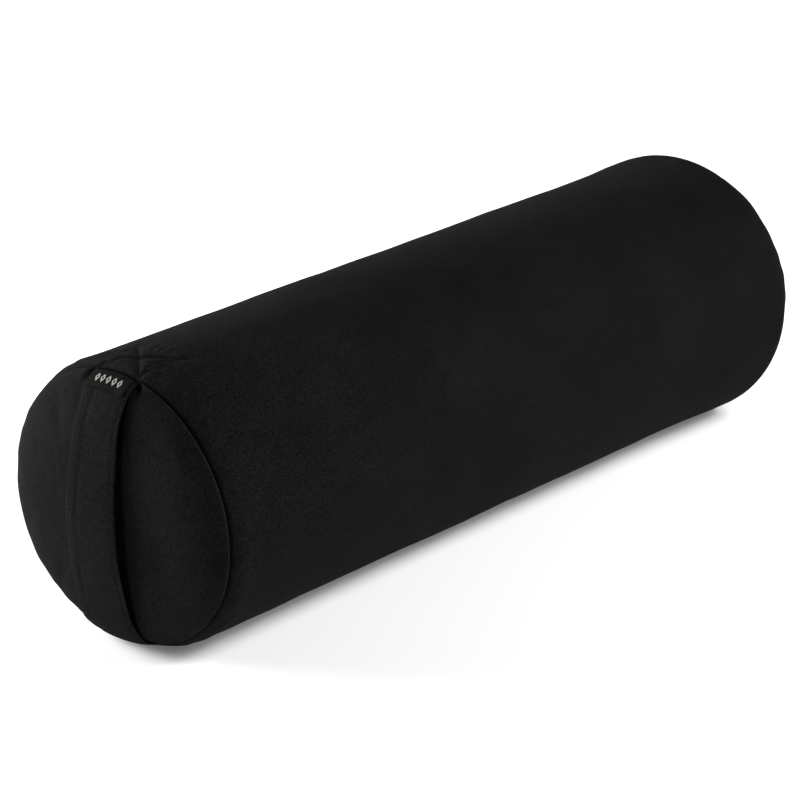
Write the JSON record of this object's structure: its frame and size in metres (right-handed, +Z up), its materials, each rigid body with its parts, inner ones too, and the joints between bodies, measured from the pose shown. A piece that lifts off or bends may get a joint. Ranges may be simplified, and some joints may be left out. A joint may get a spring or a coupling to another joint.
{
  "type": "bolster pillow",
  "caption": "Round charcoal bolster pillow in brushed fabric with a self-fabric carry strap on one domed end, a long zip with a sliding pull, and a lined, fibre-filled inner cushion.",
  "frame": {"origin": "on the floor plane, under the middle of the overall length and width", "axes": "+Z up, X along the bolster with the carry strap on the -X end, +Y to the side where the zip runs"},
  "size_m": [0.751, 0.229, 0.2244],
  "materials": {
    "cover_suede": "matte",
    "thread_black": "satin",
    "label_satin": "satin",
    "zip_tape": "matte",
    "zip_nylon": "satin",
    "zip_metal": "satin",
    "care_satin": "satin",
    "liner_cotton": "matte",
    "fill_fibre": "matte"
  },
  "bodies": {
    "bolster": {"cover_body_panel": "cover_suede", "cover_front_end_panel": "cover_suede", "cover_back_end_panel": "cover_suede", "front_seam_thread": "thread_black", "back_seam_thread": "thread_black", "long_seam_thread_front": "thread_black", "long_seam_thread_back": "thread_black", "strap_upper_leg": "cover_suede", "strap_lower_leg": "cover_suede", "upper_box_stitch": "thread_black", "lower_box_stitch": "thread_black", "woven_label": "label_satin", "zip_upper_tape": "zip_tape", "zip_lower_tape": "zip_tape", "zip_upper_coil": "zip_nylon", "zip_lower_coil": "zip_nylon", "zip_upper_top_stop": "zip_metal", "zip_lower_top_stop": "zip_metal", "zip_bottom_stop": "zip_metal", "zip_upper_topstitch": "thread_black", "zip_lower_topstitch": "thread_black", "zip_front_bar_tack": "thread_black", "zip_back_bar_tack": "thread_black", "care_label": "care_satin", "liner_body_panel": "liner_cotton", "liner_front_end_panel": "liner_cotton", "liner_back_end_panel": "liner_cotton", "liner_closing_thread": "liner_cotton", "batting_wrap": "fill_fibre", "fibre_core": "fill_fibre", "front_end_wadding": "fill_fibre", "back_end_wadding": "fill_fibre"},
    "grip": {"strap_grip": "cover_suede"},
    "slider": {"zip_slider": "zip_metal"},
    "pull": {"zip_pull_tab": "zip_metal"}
  },
  "joints": [
    {"name": "strap_pull_out", "type": "slide", "parent": "bolster", "child": "grip", "axis": [-1, 0, 0], "range_m": [-0.006, 0.02], "stiffness_N_per_m": 150, "deforming": ["strap_upper_leg", "strap_lower_leg"]},
    {"name": "zip_travel", "type": "slide", "parent": "bolster", "child": "slider", "axis": [-1, 0, 0], "range_m": [0, 0.528]},
    {"name": "pull_tab_swing", "type": "hinge", "parent": "slider", "child": "pull", "pos_m": [0.268, 0.1107, 0.14547], "axis": [0, -0.309, 0.9511], "range_deg": [0, 175]}
  ]
}
